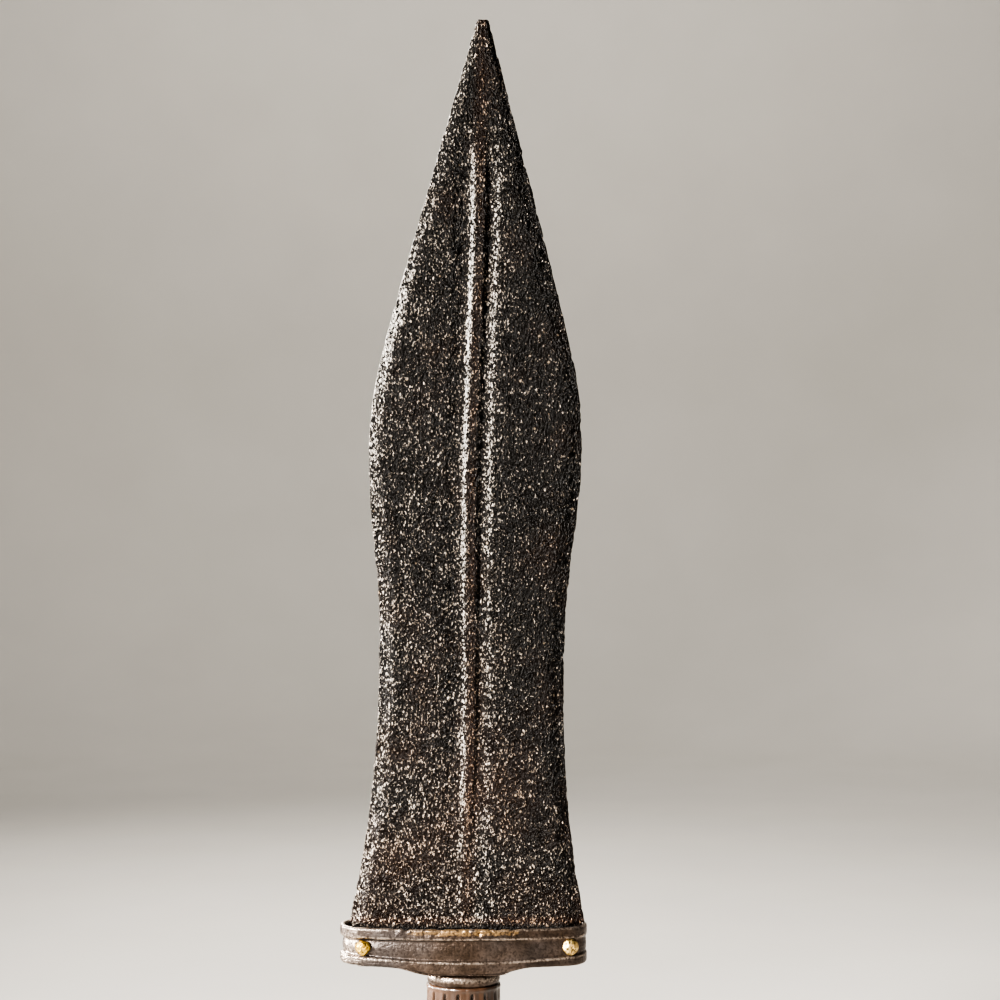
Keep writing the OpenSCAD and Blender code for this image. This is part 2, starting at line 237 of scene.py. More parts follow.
# One cell in sixty or so holds a fleck at its middle.
flecks = add(tree, "TexVoronoi", {"Vector": place, "Scale": 1 / FLECK_GAP}, feature="F1")
rare = add(tree, "SeparateColor", {"Color": flecks.outputs["Color"]}).outputs["Red"]
rare = add(tree, "MapRange", {"Value": rare, "From Min": 0.984, "From Max": 0.99, "To Max": 0.7}).outputs[0]
close = add(tree, "MapRange", {"Value": flecks.outputs["Distance"], "From Min": 0.12, "From Max": 0.34,
                               "To Min": 1.0, "To Max": 0.0}).outputs[0]
fleck = add(tree, "Math", {0: rare, 1: close}, operation="MULTIPLY").outputs[0]
tint = add(tree, "Mix", {0: fleck, 6: tint, 7: colour("#b8a48c")}, data_type="RGBA").outputs[2]
# Painted shade: the blade's foot is darkened to near black down in the guard's pocket.
tint = add(tree, "Mix", {0: foot_painted_shade, 6: tint, 7: colour("#070504")}, data_type="RGBA").outputs[2]
gloss = add(tree, "MapRange", {"Value": patch, "From Min": 0.35, "From Max": 0.65, "To Min": 0.28,
                               "To Max": 0.45}).outputs[0]
metal = add(tree, "MapRange", {"Value": crest, "From Min": 0.2, "To Max": 0.7}).outputs[0]
height = add(tree, "Math", {0: pits, 1: -0.3, 2: grain}, operation="MULTIPLY_ADD").outputs[0]
bump = add(tree, "Bump", {"Height": height, "Distance": 1.2 * MM, "Strength": 1.0}).outputs[0]
feed(tree, shader, {"Base Color": tint, "Roughness": gloss, "Metallic": metal, "Normal": bump,
                    "Specular IOR Level": 0.15})


def leaf_half_width(h):
    """Half width at a height above the rim. A parabola draws in from the shoulders to the waist,
    a smooth ramp swells to the belly, and the lesser of that and a straight taper to the point
    is taken, with the corner between them rounded by sqrt(difference^2 + r^2)."""
    start = mix(WAIST_H, BELLY_H, 0.2)
    side = (WAIST_HALF_W + (SHOULDER_HALF_W - WAIST_HALF_W) * np.clip(1 - h / WAIST_H, 0, 1) ** 2
            + (BELLY_HALF_W - WAIST_HALF_W) * ramp((h - start) / (BELLY_H - start)))
    slope = TAPER_BULGE * (BELLY_HALF_W - TIP_HALF_W) / (BLADE_L - BELLY_H)
    taper = slope * (BLADE_L - h) + TIP_HALF_W
    return (side + taper - np.sqrt((side - taper) ** 2 + CORNER_R**2)) / 2


def leaf_row(face_cols, edge_cols):
    """One closed section from its lower left: across the front, round the right edge, back across
    and round the left. Gives each point's share of the half width, its side (-1 is the front, 1
    the back) and how far the edge's half circle carries it out."""
    across = np.linspace(-1, 1, face_cols)
    turn = np.radians(np.linspace(-90, 90, edge_cols + 2)[1:-1])
    face, edge = np.ones(face_cols), np.ones(edge_cols)
    share = np.concatenate([across, edge, across[::-1], -edge])
    side = np.concatenate([-face, np.sin(turn), face, -np.sin(turn)])
    swell = np.concatenate([0 * face, np.cos(turn), 0 * face, -np.cos(turn)])
    return share, side, swell


def groove_depth(off, low, ends):
    """Two V grooves, each a tent between its two lips, by the distance in mm from the rib's line.
    The right one closes up towards the rim, where both grow shallow."""
    left = (-10.2, -6.1, -2.7, 1.15 - 0.45 * low)
    right = (6.6 - 1.2 * low, 3.0 - 2.0 * low, 1.3 - 0.6 * low, 1.15 - 0.35 * low)
    total = 0
    for far_lip, bottom, near_lip, depth in (left, right):
        tent = np.minimum((off - far_lip) / (bottom - far_lip), (off - near_lip) / (bottom - near_lip))
        total = total + depth * MM * ends * np.clip(tent, 0, 1)
    return total


def rust_away(grid, share):
    """How far rust moves each point along its normal: broad waves, pits sunk below them and a
    fine grain, each a noise of its own size, and bites out of the outermost edges."""
    coarse = noise(grid, 7 * MM, 3, 2) - 0.5
    pit = ramp((noise(grid, 2.1 * MM, 5, 2) - 0.5) / 0.3)
    fine = noise(grid, 1.15 * MM, 9) - 0.5
    bite = np.maximum(noise(grid, 3.4 * MM, 12, 2) - 0.62, 0)
    outermost = np.abs(share) ** 30
    worn = (0.5 * coarse - 0.42 * pit + 0.42 * fine) * MM * mix(1, 0.8, outermost)
    return worn - 2.2 * MM * outermost * bite


def leaf(rows, face_cols, edge_cols):
    """The leaf as rows of closed sections. Across a face the half thickness falls from the flat
    to the edge over the bevel, less the grooves; at the edges the section turns through half a
    circle. Rust then moves each point above the rim along its normal. The rib's line wanders in
    a slow sine, and rib, bevels and foot are bells and ramps of rust, painted highlight and
    painted shade."""
    seat = np.linspace(-SEAT_DROP, 0, 8)
    h = np.concatenate([seat, np.linspace(SEAT_GAP, BLADE_L - 0.5 * MM, rows)])[:, None]
    half_w = np.where(h <= 0, SEAT_HALF_W, leaf_half_width(h))
    share, side, swell = leaf_row(face_cols, edge_cols)
    x = share * half_w
    low = 1 - ramp(h / (150 * MM))
    ends = ramp((h + 30 * MM) / (100 * MM)) * ramp((BLADE_L - 25 * MM - h) / (50 * MM))
    off = (x - 0.7 * MM * np.sin(h / (34 * MM)) * ends) / MM
    flat = mix(*FLAT_HALF_T, ramp(h / BLADE_L))
    edge = mix(*EDGE_HALF_T, np.clip(h / BLADE_L, 0, 1))
    inner = half_w - np.minimum(BEVEL_W, 0.4 * half_w)
    thick = mix(flat, edge, ramp((np.abs(x) - inner) / (half_w - inner)) ** 1.3)
    thick = thick - groove_depth(off, low, ends)
    middle = BLADE_SHIFT + BLADE_LEAN * np.maximum(h, 0)
    grid = np.stack(np.broadcast_arrays(x + swell * 0.5 * edge + middle, side * thick, RIM_Z + h), axis=-1)
    normal = outward(grid)
    normal *= -np.sign(normal[:, :1, 1:2])
    above = ramp(h / (2 * MM))
    grid = grid + normal * (rust_away(grid, share) * above)[..., None]

    from_edge = half_w - np.abs(x)
    rib = 0.5 * bell((off + 0.2) / 2.4)
    foot = bell((h - 1.2 * MM) / (1.3 * MM))
    rust = rib + 0.3 * low + 0.6 * foot - 0.06
    # Painted highlight on the rib's left flank and on the left-facing flank of the right groove, where the
    # light from the left catches; fainter towards the rim.
    flanks = 1.15 * bell(off + 3.0) + 0.62 * bell((off - 5.8) / 1.6)
    flanks = flanks * ends * mix(0.6, 1.0, ramp((h - 100 * MM) / (80 * MM)))
    # Painted highlight on the left bevel only, the side that faces the light.
    bevel = ramp((5.5 * MM - from_edge) / (4 * MM)) * (x < 0)
    bevel = bevel * (0.3 + 0.6 * bell((h - 208 * MM) / (38 * MM)))
    # Painted shade: the face right of the rib is darkened, the side away from the light.
    shade = 0.22 * ramp((off - 8) / 8)
    # Less painted highlight on the middle of the point; the sum below is the painted highlight.
    dull_tip = 0.16 * ramp((h - 275 * MM) / (20 * MM)) * (1 - ramp((4 * MM - from_edge) / (3 * MM)))
    shine = np.clip(flanks + bevel + 0.12 * low - shade, -0.4, 1.15) - dull_tip + 0.18 * foot
    # Painted shade on the blade below the rim, down in the guard's pocket.
    grime = np.broadcast_to(1 - ramp((h + 0.5 * MM) / (0.8 * MM)), off.shape)
    return grid, dict(rust=rust, shine=shine, grime=grime)


leaf_grid, leaf_marks = leaf(430, 100, 8)
blade_leaf = skin("blade_leaf", leaf_grid, iron, **leaf_marks)
put(blade_leaf, "iron", "blade")


# ---- Blade: the tang ------------------------------------------------------------------------
# The tang is drawn out of the same forging. It runs down through guard, grip and pommel, and its
# end is hammered over the washer in the pommel's recess. Only that end shows, from below.

RECESS_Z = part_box("peen_washer")[0].z   # underside of the washer
TANG_TOP = RIM_Z - SEAT_DROP + 6 * MM
TANG_HALF_W = (4.0 * MM, 7.0 * MM)      # at the washer and at the top
TANG_HALF_T = 2.5 * MM
PEEN_R = 5.2 * MM
PEEN_DEPTH = 2.2 * MM
turns = np.linspace(0, 2 * np.pi, 48, endpoint=False)


def tang_ring(half_w, half_d, z, power):
    """A level rounded rectangle: cosine and sine of the turn, each raised to 2/power. At 2 it is
    an ellipse, and above that it grows square."""
    c, s = np.cos(turns), np.sin(turns)
    return np.column_stack([half_w * np.sign(c) * np.abs(c) ** (2 / power),
                            half_d * np.sign(s) * np.abs(s) ** (2 / power), np.full(len(turns), z)])


def tang():
    """Rows from the peened dome, a quarter ellipse in profile, up the tapering bar."""
    rows = []
    for a in np.radians([4, 20, 36, 52, 68, 84, 90]):
        r = PEEN_R * np.sin(a)
        rows.append(tang_ring(r, r, RECESS_Z - PEEN_DEPTH * (0.35 + 0.65 * np.cos(a)), 2.0))
    rows.append(tang_ring(PEEN_R, PEEN_R, RECESS_Z, 2.0))
    for share in np.linspace(0, 1, 24):
        rows.append(tang_ring(mix(*TANG_HALF_W, share), TANG_HALF_T, mix(RECESS_Z, TANG_TOP, share), 8.0))
    grid = np.array(rows)
    dents = noise(grid, 2.4 * MM, 21, 2)[..., None] - 0.5
    return grid + outward(grid) * dents * 0.25 * MM


blade_tang = skin("blade_tang", tang(), iron, rust=0.3, shine=0.1, grime=0.0)
put(blade_tang, "iron", "blade")


# ---- Guard ----------------------------------------------------------------------------------
# A hollow boat cast in bronze, open on top, with a panel between two proud bands all round. Hands
# have rubbed the bands smooth; the rim is chipped, and the patina is brown with coppery edges that are
# partly wear and partly painted highlight.

GUARD_MID_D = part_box("guard")[1].y
END_R = 9.0 * MM
END_H = 13.8 * MM
MID_H = RIM_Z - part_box("guard")[0].z
RIM_T = 2.0 * MM
POCKET = SEAT_DROP
TOP_BAND = 4.2 * MM
LOW_BAND = 4.0 * MM
LOW_BAND_MID = 5.1 * MM
BAND_PROUD = 0.7 * MM
FLAT_HALF = 13.3 * MM                   # half length of the level stretch under the middle
THROAT = 9.0 * MM                       # length over which the underside rises beside it
SLOT_HALF = (7.2 * MM, 2.7 * MM)        # half length and width of the tang's slot
PROFILE_ROWS = 200
POCKET_ROW = 165                        # rows after this one lie on the pocket's wall and floor
# The rim's chips, in mm: place along the rim, drop below it, width and depth.
CHIPS = ((-20.2, 0.0, 0.9, 0.8), (5.8, 1.6, 0.5, 0.55), (12.5, 0.0, 1.6, 0.4),
         (-24.0, 0.3, 1.2, 0.35), (18.0, 0.0, 2.2, 0.3), (-8.0, 0.0, 1.5, 0.25))
END_X = GUARD_HALF_L - END_R
BROAD_R = (END_X**2 + GUARD_MID_D**2 - END_R**2) / (2 * (GUARD_MID_D - END_R))
BROAD_Y = BROAD_R - GUARD_MID_D


def boat_plan(count):
    """Points round the guard's plan and their outward normals, evenly spaced: two broad arcs
    whose centres lie across the middle, each meeting a small end arc in a common tangent."""
    join = np.arctan2(BROAD_Y, END_X)
    arcs = ((0, BROAD_Y, BROAD_R, join - np.pi, -join), (END_X, 0, END_R, -join, join),
            (0, -BROAD_Y, BROAD_R, join, np.pi - join), (-END_X, 0, END_R, np.pi - join, np.pi + join))
    lengths = np.array([r * (b - a) for _, _, r, a, b in arcs])
    starts = np.concatenate([[0], np.cumsum(lengths)])
    along = np.arange(count) / count * starts[-1]
    which = np.searchsorted(starts, along, side="right") - 1
    x0, y0, r, a, b = np.array(arcs)[which].T
    angle = a + (along - starts[which]) / r
    normal = np.stack([np.cos(angle), np.sin(angle)], axis=-1)
    return np.stack([x0, y0], axis=-1) + r[:, None] * normal, normal


def soft_step(t, corner):
    """Straight from 0 at t = 0 to 1 at t = 1 and level outside, both corners rounded off."""
    def soft_max(value):
        return (value + np.sqrt(value**2 + corner**2)) / 2
    return soft_max(t) - soft_max(t - 1)


def band_line(x):
    """How far below the rim the lower band begins: straight from its drop at the ends to its
    drop at the level middle."""
    t = (GUARD_HALF_L - np.abs(x)) / (GUARD_HALF_L - FLAT_HALF)
    return mix(END_H - LOW_BAND, MID_H - LOW_BAND_MID, soft_step(t, 0.15))


def under_line(x):
    """How far below the rim the underside lies: END_H, and MID_H beyond the throat's slope."""
    t = (FLAT_HALF + THROAT - np.abs(x)) / THROAT
    return mix(END_H, MID_H, soft_step(t, 0.3))


def round_off(values):
    """Rounds the corners of a closed profile: a running mean of seven neighbours, weighted by a
    bell one point wide."""
    weights = np.exp(-0.5 * np.arange(-3.0, 4.0) ** 2)
    padded = np.concatenate([values[-3:], values, values[:3]])
    return np.convolve(padded, weights / weights.sum(), mode="valid")


def guard_surface(cols):
    """A closed profile carried round the plan: out from the tang's slot along the underside, up
    over lower band, panel and top band, across the rim, down the pocket's wall and in over its
    floor. A profile point is a share of the way out from the slot, an inset from the plan, how
    much of the underside's line and of the band's line its drop takes, and a drop of its own."""
    knots = np.array([
        (0.0, 0.0, 1, 0, 0.0), (0.93, 0.0, 1, 0, 0.0), (1.0, 0.9 * MM, 1, 0, 0.0),
        (1.0, 0.25 * MM, 1, 0, -0.3 * MM), (1.0, 0.0, 1, 0, -1.0 * MM),
        (1.0, 0.0, 0, 1, 0.35 * MM), (1.0, BAND_PROUD + 0.25 * MM, 0, 1, -0.35 * MM),
        (1.0, BAND_PROUD, 0, 1, -1.2 * MM), (1.0, BAND_PROUD - 0.2 * MM, 0, 0.5, TOP_BAND / 2),
        (1.0, BAND_PROUD, 0, 0, TOP_BAND + 1.2 * MM),
        (1.0, BAND_PROUD + 0.2 * MM, 0, 0, TOP_BAND + 0.35 * MM),
        (1.0, 0.0, 0, 0, TOP_BAND - 0.35 * MM), (1.0, 0.0, 0, 0, 0.5 * MM),
        (1.0, 0.6 * MM, 0, 0, 0.0), (1.0, RIM_T - 0.4 * MM, 0, 0, 0.0),
        (1.0, RIM_T, 0, 0, 0.4 * MM), (1.0, RIM_T, 0, 0, POCKET), (0.0, 0.0, 0, 0, POCKET),
    ])
    knots = np.vstack([knots, knots[:1]])
    level = knots[:, 2] * MID_H + knots[:, 3] * (MID_H - LOW_BAND_MID) + knots[:, 4]
    way_out = np.abs(np.diff(knots[:, 0])) * 9 * MM     # from slot to plan, which varies, as if 9 mm
    steps = way_out + np.hypot(np.diff(knots[:, 1]), np.diff(level))
    lengths = np.concatenate([[0], np.cumsum(steps)])
    at = np.linspace(0, lengths[-1], PROFILE_ROWS, endpoint=False)
    profile = [round_off(np.interp(at, lengths, column))[:, None] for column in knots.T]
    share, inset, under, band, own = profile
    plan, normal = boat_plan(cols)
    # The bands are worn down towards the right of the front and stand sharp at its left end.
    worn_down = ramp((plan[:, 0] - 5 * MM) / (30 * MM)) * (plan[:, 1] < 0)
    sharp = 1 + 0.5 * ramp((-plan[:, 0] - 24 * MM) / (12 * MM))
    cut = np.where(inset < BAND_PROUD * 1.5, (1 - 0.5 * worn_down) * sharp, 1)
    cut = np.where(own + under + band < 1 * MM, 1, cut)
    slot = np.stack([SLOT_HALF[0] * normal[:, 0], SLOT_HALF[1] * normal[:, 1]], axis=-1)
    edge = plan[None] - (inset * cut)[..., None] * normal[None]
    flat = mix(slot[None], edge, share[..., None])
    x = flat[..., 0]
    drop = under * under_line(x) + band * band_line(x) + own
    return np.dstack([flat, RIM_Z - drop]), share * np.ones(cols), drop


guard_grid, guard_share, guard_drop = guard_surface(420)
guard_x, guard_y = guard_grid[..., 0], guard_grid[..., 1]
guard_wall = guard_share > 0.9
guard_front = guard_wall & (guard_y < -1 * MM)
left_end = ramp((-guard_x - 26 * MM) / (12 * MM)) * ramp((guard_drop - 6 * MM) / (3 * MM))

# The gold-coloured stretch: a flat-topped bell along the upper half of the top band.
bare = np.exp(-(((guard_x - 1 * MM) / (23 * MM)) ** 6))
bare = bare * ramp((TOP_BAND * 0.8 - guard_drop) / (1.6 * MM)) * guard_front
bare = bare * ramp((noise(guard_grid, 4.5 * MM, 36, 2) - 0.15) / 0.4)

# The casting's dents and grain, file strokes at the left end, chips as bells and the gold's pocks.
guard_dents = noise(guard_grid, 9 * MM, 31, 2) - 0.5
casting = noise(guard_grid, 1.6 * MM, 33, 2) - 0.5
filing = noise(guard_grid * [0.18, 0.4, 1.0], 0.55 * MM, 34, 2) - 0.5
pocks = ramp((noise(guard_grid, 1.1 * MM, 35) - 0.55) / 0.25) * bare
chips = sum(deep * np.exp(-(((guard_x / MM - at) / wide) ** 2 + ((guard_drop / MM - down) / 1.1) ** 2))
            for at, down, wide, deep in CHIPS)
worn_in = 0.14 + chips * guard_front + 0.28 * pocks
guard_move = (0.45 * guard_dents + 0.12 * casting + 0.3 * filing * left_end - worn_in) * MM
guard_normal = outward(guard_grid, loop=True)
guard_middle = guard_grid.mean(axis=(0, 1))
outer_rows = slice(20, 120)
if np.sum((guard_normal * (guard_grid - guard_middle))[outer_rows]) < 0:
    guard_normal = -guard_normal
guard_grid = guard_grid + guard_normal * (guard_move * guard_wall)[..., None]

# Three edges are painted pale, partly as hand wear and partly as painted highlight where the light
# catches them: the rim, the foot of the top band and the top of the lower band.
rubbed_lines = (0.3 * MM, TOP_BAND - 0.6 * MM, band_line(guard_x) + 0.6 * MM)
edge_rub = sum(bell((guard_drop - line) / (0.6 * MM)) for line in rubbed_lines)
# The bell at the left end and the left_end term are a painted highlight on the curved end that faces the
# light.
edge_rub = edge_rub + 0.8 * bell((guard_x + 40.5 * MM) / (3.5 * MM)) + 0.3 * left_end
edge_rub = edge_rub * (0.35 + 0.9 * noise(guard_grid, 3.5 * MM, 37, 2))
guard_rub = np.clip(edge_rub, 0, 1) * guard_wall
# Painted shade on the pocket's wall and floor inside the rim.
in_pocket = (np.arange(PROFILE_ROWS) > POCKET_ROW)[:, None]
pocket_painted_shade = ((guard_share < 0.99) | (guard_drop > 1 * MM)) & in_pocket

# Bronze under a brown patina: dark in the specks, with a painted shade in the guard's pocket, a
# pale coppery grey on every edge that is partly wear and partly painted highlight, a painted highlight
# on the guard's left end and the beads' upper shoulders, and golden where the top band is worn bare.
# Fine file strokes run along it.
CLOUD_W = 8.0 * MM
WARM_W = 26.0 * MM
SPECK_W = 0.9 * MM
STROKE_W = 0.45 * MM
bronze, tree, shader, place = new_material("patinated_cast_bronze")
rub = add(tree, "Attribute", {}, attribute_name="rub").outputs["Fac"]
gold = add(tree, "Attribute", {}, attribute_name="gold").outputs["Fac"]
grime = add(tree, "Attribute", {}, attribute_name="grime").outputs["Fac"]
cloud = add(tree, "TexNoise", {"Vector": place, "Scale": 1 / CLOUD_W, "Detail": 6.0,
                               "Roughness": 0.65}).outputs[0]
warm = add(tree, "TexNoise", {"Vector": place, "Scale": 1 / WARM_W, "Detail": 3.0}).outputs[0]
speck = add(tree, "TexNoise", {"Vector": place, "Scale": 1 / SPECK_W, "Detail": 3.0}).outputs[0]
strokes = add(tree, "Mapping", {"Vector": place, "Scale": (0.1, 0.5, 1.0)}).outputs[0]
strokes = add(tree, "TexNoise", {"Vector": strokes, "Scale": 1 / STROKE_W, "Detail": 3.0}).outputs[0]
light = add(tree, "MapRange", {"Value": cloud, "From Min": 0.36, "From Max": 0.66}).outputs[0]
brown = add(tree, "MapRange", {"Value": warm, "From Min": 0.42, "From Max": 0.62}).outputs[0]
dark = add(tree, "Mix", {0: brown, 6: colour("#3a3431"), 7: colour("#3f3329")}, data_type="RGBA").outputs[2]
pale = add(tree, "Mix", {0: brown, 6: colour("#645c58"), 7: colour("#67584e")}, data_type="RGBA").outputs[2]
tint = add(tree, "Mix", {0: light, 6: dark, 7: pale}, data_type="RGBA").outputs[2]
pale_wear_and_highlight = add(tree, "Math", {0: speck, 1: 1.2, 2: -0.1}, operation="MULTIPLY_ADD").outputs[0]
pale_wear_and_highlight = add(tree, "Math", {0: rub, 1: pale_wear_and_highlight}, operation="MULTIPLY").outputs[0]
pale_wear_and_highlight = add(tree, "MapRange", {"Value": pale_wear_and_highlight, "From Min": 0.15, "From Max": 0.7, "To Max": 0.9}).outputs[0]
# Pale coppery grey where the mark is set: wear on the edges, painted highlight on the guard's left end and
# the beads' shoulders.
tint = add(tree, "Mix", {0: pale_wear_and_highlight, 6: tint, 7: colour("#c2b2a4")}, data_type="RGBA").outputs[2]
golden = add(tree, "Math", {0: speck, 1: 0.8, 2: 0.3}, operation="MULTIPLY_ADD").outputs[0]
golden = add(tree, "Math", {0: gold, 1: golden}, operation="MULTIPLY").outputs[0]
golden = add(tree, "MapRange", {"Value": golden, "From Min": 0.42, "From Max": 0.8,
                                "To Max": 0.85}).outputs[0]
tint = add(tree, "Mix", {0: golden, 6: tint, 7: colour("#ab8a5e")}, data_type="RGBA").outputs[2]
# Painted shade in the guard's pocket; none on the collars and pommel.
tint = add(tree, "Mix", {0: grime, 6: tint, 7: colour("#1b1410")}, data_type="RGBA").outputs[2]
fine = add(tree, "MapRange", {"Value": speck, "From Min": 0.38, "From Max": 0.5, "To Min": 0.55,
                              "To Max": 0.0}).outputs[0]
tint = add(tree, "Mix", {0: fine, 6: tint, 7: colour("#2b221d")}, data_type="RGBA").outputs[2]
gloss = add(tree, "MapRange", {"Value": cloud, "From Min": 0.3, "From Max": 0.7, "To Min": 0.44,
                               "To Max": 0.32}).outputs[0]
gloss = add(tree, "Math", {0: pale_wear_and_highlight, 1: -0.14, 2: gloss}, operation="MULTIPLY_ADD").outputs[0]
height = add(tree, "Math", {0: strokes, 1: 0.5, 2: speck}, operation="MULTIPLY_ADD").outputs[0]
bump = add(tree, "Bump", {"Height": height, "Distance": 0.2 * MM, "Strength": 0.9}).outputs[0]
feed(tree, shader, {"Base Color": tint, "Roughness": gloss, "Normal": bump, "Metallic": 0.8})

guard = skin("guard_casting", guard_grid, bronze, loop=True, rub=guard_rub, gold=bare,
             grime=pocket_painted_shade * 0.9)
put(guard, "bronze", "guard")


# ---- Packing --------------------------------------------------------------------------------
# Pitch run into the pocket on both sides of the blade and left rough, a little below the rim.
# It hardens dark brown, with lumps on top.

PACK_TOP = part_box("packing_front")[1].z
PACK_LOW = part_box("packing_front")[0].z
PACK_GAP = (0.35 * MM, 0.05 * MM)       # clear of the pocket's ends and of its walls
BLADE_CLEAR = 2.2 * MM                  # from the middle plane to the pitch beside the blade
END_CLEAR = 0.1 * MM                    # and beyond the blade's shoulders
pitch, tree, shader, place = new_material("poured_pitch")
lumps = add(tree, "TexNoise", {"Vector": place, "Scale": 1 / (1.5 * MM), "Detail": 4.0}).outputs[0]
tint = add(tree, "Mix", {0: lumps, 6: colour("#1d1410"), 7: colour("#4a3222")}, data_type="RGBA").outputs[2]
bump = add(tree, "Bump", {"Height": lumps, "Distance": 0.4 * MM, "Strength": 0.9}).outputs[0]
feed(tree, shader, {"Base Color": tint, "Normal": bump, "Roughness": 0.55})


def guard_half_depth(x, inset):
    """Half the guard's plan depth at x: the broad arc out to the joint, then the end arc."""
    broad = np.sqrt(np.maximum((BROAD_R - inset) ** 2 - x**2, 0)) - BROAD_Y
    small = np.sqrt(np.maximum((END_R - inset) ** 2 - (np.abs(x) - END_X) ** 2, 0))
    joint = END_X + (END_R - inset) * END_X / (BROAD_R - END_R)
    return np.where(np.abs(x) < joint, broad, small)


def packing(side, seed):
    """Rows of a rounded square along the pocket, from the blade's face out to the wall. The top
    is lifted and sunk by noise."""
    x = np.linspace(-1, 1, 150)[:, None] * (GUARD_HALF_L - RIM_T - PACK_GAP[0])
    wall = guard_half_depth(x, RIM_T + PACK_GAP[1])
    face = np.where(np.abs(x - BLADE_SHIFT) < SEAT_HALF_W, BLADE_CLEAR, END_CLEAR)
    face = np.minimum(face, wall * 0.6)
    c, s = np.cos(turns), np.sin(turns)
    across = np.sign(c) * np.abs(c) ** 0.25 / 2 + 0.5
    up = np.sign(s) * np.abs(s) ** 0.25 / 2 + 0.5
    y = side * mix(face, wall, across)
    z = mix(PACK_LOW, PACK_TOP, up)
    grid = np.stack(np.broadcast_arrays(x, y, z), axis=-1)
    grid[..., 2] += (noise(grid, 2.6 * MM, seed, 3) - 0.55) * 2.0 * MM * ramp((up - 0.6) / 0.4)
    return grid


for name, side, seed in (("packing_front", -1, 41), ("packing_back", 1, 43)):
    slip = skin(name + "_pitch", packing(side, seed), pitch)
    put(slip, "pitch", name)


# ---- Rivets ---------------------------------------------------------------------------------
# Two brass rivets run from front to back through guard, pitch and blade. Both ends are cold
# hammered: lumpy heads with flats from the blows and splits round the rim.

RIVET_R = 1.5 * MM
HEAD_R = 3.0 * MM
HEAD_H = 2.4 * MM
HEAD_SUNK = 0.25 * MM
SHANK_SUNK = 1.0 * MM
BLOWS = 14
HEAD_ROWS = 14
# Yellow brass, bright and dull in small clouds, with dark pocks in it, and dirt and a painted
# shade round the foot of each head. The right rivet is paler than the left.
brass, tree, shader, place = new_material("hammered_brass")
grime = add(tree, "Attribute", {}, attribute_name="grime").outputs["Fac"]
pale = add(tree, "Attribute", {}, attribute_name="pale").outputs["Fac"]
cloud = add(tree, "TexNoise", {"Vector": place, "Scale": 1 / (1.8 * MM), "Detail": 4.0}).outputs[0]
crumb = add(tree, "TexNoise", {"Vector": place, "Scale": 1 / (0.8 * MM), "Detail": 3.0}).outputs[0]
dull = add(tree, "MapRange", {"Value": cloud, "From Min": 0.35, "From Max": 0.7}).outputs[0]
tint = add(tree, "Mix", {0: dull, 6: colour("#f7d772"), 7: colour("#c89c48")}, data_type="RGBA").outputs[2]
tint = add(tree, "Mix", {0: pale, 6: tint, 7: colour("#d9c49a")}, data_type="RGBA").outputs[2]
# Dirt and painted shade where the mark is set.
tint = add(tree, "Mix", {0: grime, 6: tint, 7: colour("#3a2c1c")}, data_type="RGBA").outputs[2]
pock = add(tree, "MapRange", {"Value": crumb, "From Min": 0.4, "From Max": 0.46, "To Min": 0.85,
                              "To Max": 0.0}).outputs[0]
tint = add(tree, "Mix", {0: pock, 6: tint, 7: colour("#4a3418")}, data_type="RGBA").outputs[2]
gloss = add(tree, "MapRange", {"Value": cloud, "From Min": 0.3, "From Max": 0.7, "To Min": 0.36,
                               "To Max": 0.55}).outputs[0]
bump = add(tree, "Bump", {"Height": crumb, "Distance": 0.35 * MM, "Strength": 0.9}).outputs[0]
feed(tree, shader, {"Base Color": tint, "Roughness": gloss, "Normal": bump, "Metallic": 1.0})


def rivet(x, z, seed):
    """A head, the shank and another head along Y. A head is a dome cut by hammer blows: each
    direction's reach is the least of the dome's and of the planes' that the blows left, which
    face and lie at random. Its foot follows the guard's curved wall."""
    draw = np.random.default_rng(seed)
    foot = guard_half_depth(x + HEAD_R * np.cos(turns), BAND_PROUD)
    top = guard_half_depth(np.array(x), BAND_PROUD) + HEAD_H
    lift = np.radians(np.linspace(88, 4, HEAD_ROWS))[:, None]
    way = np.stack(np.broadcast_arrays(np.cos(lift) * np.cos(turns), np.cos(lift) * np.sin(turns),
                                       np.sin(lift)), axis=-1)
    rows, grime = [], []
    for side in (-1, 1):
        blows = draw.normal(size=(BLOWS, 3))
        blows[:, 2] = np.abs(blows[:, 2]) + 0.35
        blows /= np.linalg.norm(blows, axis=1, keepdims=True)
        depth = draw.uniform(0.80, 0.97, BLOWS)
        reach = np.minimum(1.0, np.min(depth / np.maximum(way @ blows.T, 0.05), axis=-1))
        out = way * reach[..., None]
        head_y = side * mix(foot - HEAD_SUNK, top, np.clip(1.25 * out[..., 2], 0, 1) ** 0.8)
        head = np.stack([x + HEAD_R * out[..., 0], head_y, z + HEAD_R * out[..., 1]], axis=-1)
        neck = np.stack([x + RIVET_R * np.cos(turns), side * (foot - SHANK_SUNK),
                         z + RIVET_R * np.sin(turns)], axis=-1)
        part = np.concatenate([head, neck[None]])
        # Dirt and painted shade darken each head towards its foot, and the shank.
        dirt_and_shade = np.concatenate([ramp(1 - out[..., 2] / 0.5) * 0.95, np.ones((1, len(turns)))])
        rows.append(part if side < 0 else part[::-1])
        grime.append(dirt_and_shade if side < 0 else dirt_and_shade[::-1])
    grid = np.concatenate(rows)
    lumps = noise(grid, 1.3 * MM, seed, 2)[..., None] - 0.5
    normal = outward(grid)
    if np.sum(normal[2] * (grid[2] - grid[2].mean(axis=0))) < 0:
        normal = -normal
    return grid + normal * lumps * 0.35 * MM, np.concatenate(grime)


